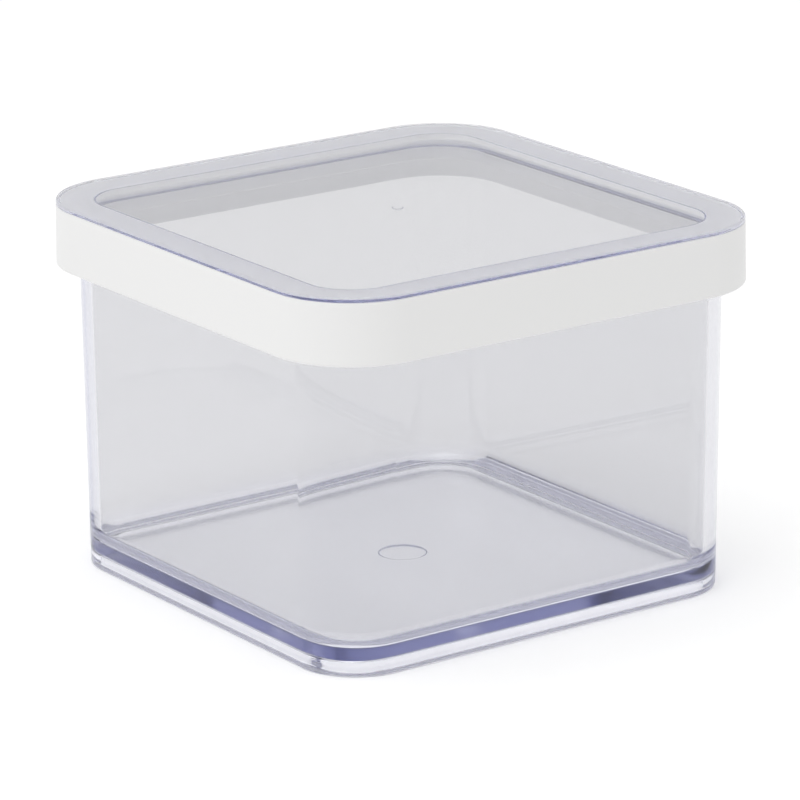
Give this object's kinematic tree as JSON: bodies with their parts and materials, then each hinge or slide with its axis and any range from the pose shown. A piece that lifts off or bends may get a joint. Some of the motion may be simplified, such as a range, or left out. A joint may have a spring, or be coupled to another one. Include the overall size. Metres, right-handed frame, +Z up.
{
  "type": "food storage box",
  "caption": "Square clear food storage box with rounded corners, drafted walls and a raised foot, closed by a lift-off lid with a white frame, clear window and soft seal.",
  "frame": {"origin": "middle of the foot, on the surface that the box stands on", "axes": "+Z up, the way the lid lifts off; +X and +Y square to the side walls"},
  "size_m": [0.1014, 0.1014, 0.0716],
  "materials": {
    "clear_body": "clear, polished, faint blue-violet tint where it is seen edge on",
    "white_frame": "white, satin",
    "clear_window": "clear, polished",
    "soft_seal": "soft, matt, white"
  },
  "bodies": {
    "box": {"container": "clear_body"},
    "lid": {"lid_frame": "white_frame", "lid_window": "clear_window", "lid_seal": "soft_seal"}
  },
  "joints": [
    {"name": "lid_lift", "type": "slide", "parent": "box", "child": "lid", "axis": [0, 0, 1], "range_m": [0, 0.04]}
  ]
}
